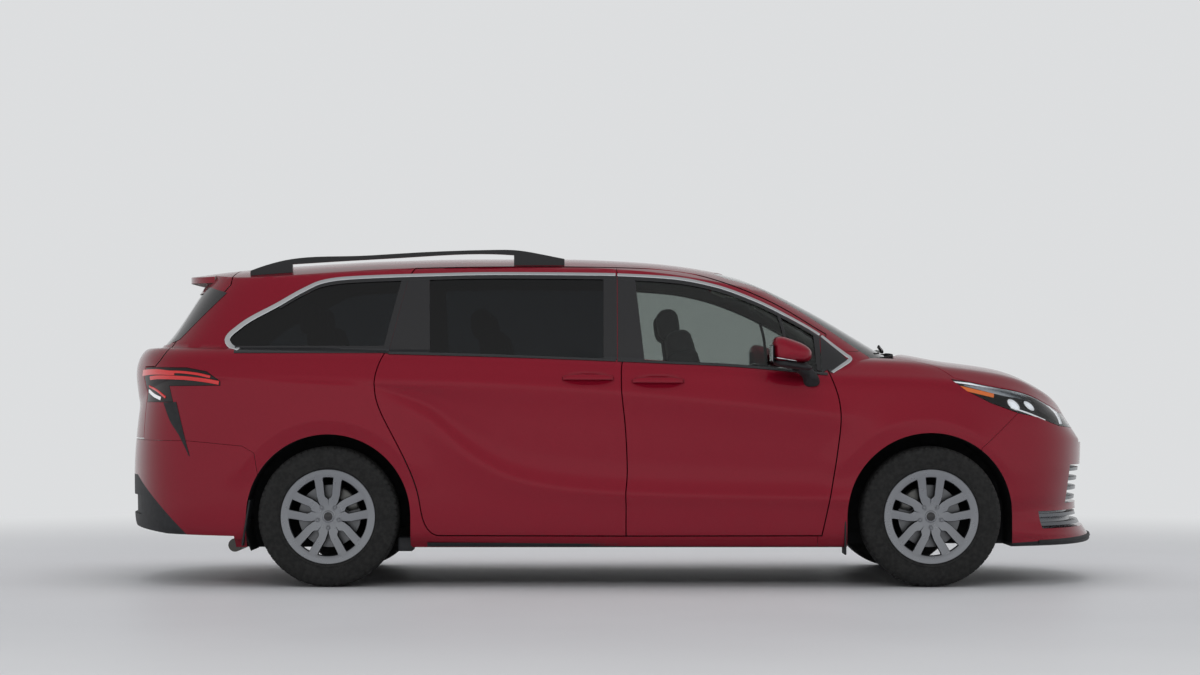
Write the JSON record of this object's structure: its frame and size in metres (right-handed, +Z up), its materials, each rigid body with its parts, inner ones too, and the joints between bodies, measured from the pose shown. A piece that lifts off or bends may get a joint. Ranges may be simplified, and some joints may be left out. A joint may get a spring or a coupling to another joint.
{
  "type": "minivan",
  "caption": "Family minivan with a sloping hood, hinged front doors, sliding rear doors, a lifting tailgate, roof rails and steered front wheels.",
  "frame": {"origin": "on the ground, at the middle of the length and of the width", "axes": "+X forward, +Y to the car's left, +Z up"},
  "size_m": [5.1227, 2.3682, 1.7295],
  "materials": {
    "paint": "gloss",
    "trim_black": "grained",
    "gloss_black": "gloss",
    "glass": "tinted",
    "lamp": "clear",
    "lamp_red": "red",
    "steel": "rolled",
    "iron": "cast",
    "alloy": "machined",
    "tyre": "rubber",
    "fabric": "woven",
    "cabin_plastic": "grained",
    "rail": "satin"
  },
  "bodies": {
    "body": {"body_side_left": "paint", "body_side_right": "paint", "dashboard": "cabin_plastic", "engine": "iron", "exhaust": "steel", "front_bumper": "paint", "front_fenders": "paint", "front_seats": "fabric", "front_subframe": "steel", "fuel_tank": "trim_black", "grille": "gloss_black", "headlamps": "lamp", "middle_seats": "fabric", "quarter_glass": "glass", "rear_axle": "steel", "rear_bench": "fabric", "rear_bumper": "paint", "roof": "paint", "roof_rails": "rail", "sliding_door_glass": "glass", "sliding_door_left": "paint", "sliding_door_right": "paint", "tail_lamps": "lamp_red", "underbody": "steel", "windscreen": "glass"},
    "hood": {"hood": "paint"},
    "tailgate": {"tailgate": "paint", "tailgate_glass": "glass"},
    "front_door_left": {"front_door_left": "paint", "front_door_glass_left": "glass", "mirror_left": "paint"},
    "front_door_right": {"front_door_right": "paint", "front_door_glass_right": "glass", "mirror_right": "paint"},
    "steering_wheel": {"steering_wheel": "cabin_plastic"},
    "knuckle_left": {"knuckle_left": "iron"},
    "knuckle_right": {"knuckle_right": "iron"},
    "wheel_front_left": {"tyre_front_left": "tyre", "rim_front_left": "alloy"},
    "wheel_front_right": {"tyre_front_right": "tyre", "rim_front_right": "alloy"},
    "wheel_rear_left": {"tyre_rear_left": "tyre", "rim_rear_left": "alloy"},
    "wheel_rear_right": {"tyre_rear_right": "tyre", "rim_rear_right": "alloy"}
  },
  "joints": [
    {"name": "hood_hinge", "type": "hinge", "parent": "body", "child": "hood", "pos_m": [1.4226, 0, 1.17576], "axis": [0, -1, 0], "range_deg": [0, 50]},
    {"name": "tailgate_hinge", "type": "hinge", "parent": "body", "child": "tailgate", "pos_m": [-1.95476, 0, 1.64849], "axis": [0, 1, 0], "range_deg": [0, 80]},
    {"name": "front_door_left_hinge", "type": "hinge", "parent": "body", "child": "front_door_left", "pos_m": [1.17006, 0.99, 0.7821], "axis": [0, 0, -1], "range_deg": [0, 68]},
    {"name": "front_door_right_hinge", "type": "hinge", "parent": "body", "child": "front_door_right", "pos_m": [1.17006, -0.99, 0.7821], "axis": [0, 0, 1], "range_deg": [0, 68]},
    {"name": "steer_left", "type": "hinge", "parent": "body", "child": "knuckle_left", "pos_m": [1.6185, 0.8195, 0.357], "axis": [0, 0, 1], "range_deg": [-35, 35]},
    {"name": "steer_right", "type": "hinge", "parent": "body", "child": "knuckle_right", "pos_m": [1.6185, -0.8195, 0.357], "axis": [0, 0, 1], "range_deg": [-35, 35]},
    {"name": "steering_wheel_turn", "type": "hinge", "parent": "body", "child": "steering_wheel", "pos_m": [1.0063, 0.385, 1.01673], "axis": [-0.9063, 0, 0.4226], "range_deg": [-490, 490]},
    {"name": "wheel_front_left_spin", "type": "hinge", "parent": "knuckle_left", "child": "wheel_front_left", "pos_m": [1.6185, 0.8625, 0.357], "axis": [0, 1, 0], "continuous": true},
    {"name": "wheel_front_right_spin", "type": "hinge", "parent": "knuckle_right", "child": "wheel_front_right", "pos_m": [1.6185, -0.8625, 0.357], "axis": [0, 1, 0], "continuous": true},
    {"name": "wheel_rear_left_spin", "type": "hinge", "parent": "body", "child": "wheel_rear_left", "pos_m": [-1.4425, 0.8625, 0.357], "axis": [0, 1, 0], "continuous": true},
    {"name": "wheel_rear_right_spin", "type": "hinge", "parent": "body", "child": "wheel_rear_right", "pos_m": [-1.4425, -0.8625, 0.357], "axis": [0, 1, 0], "continuous": true}
  ],
  "couplings": [
    {"joint": "steer_right", "follows": "steer_left", "ratio": 1},
    {"joint": "steering_wheel_turn", "follows": "steer_left", "ratio": 14}
  ]
}
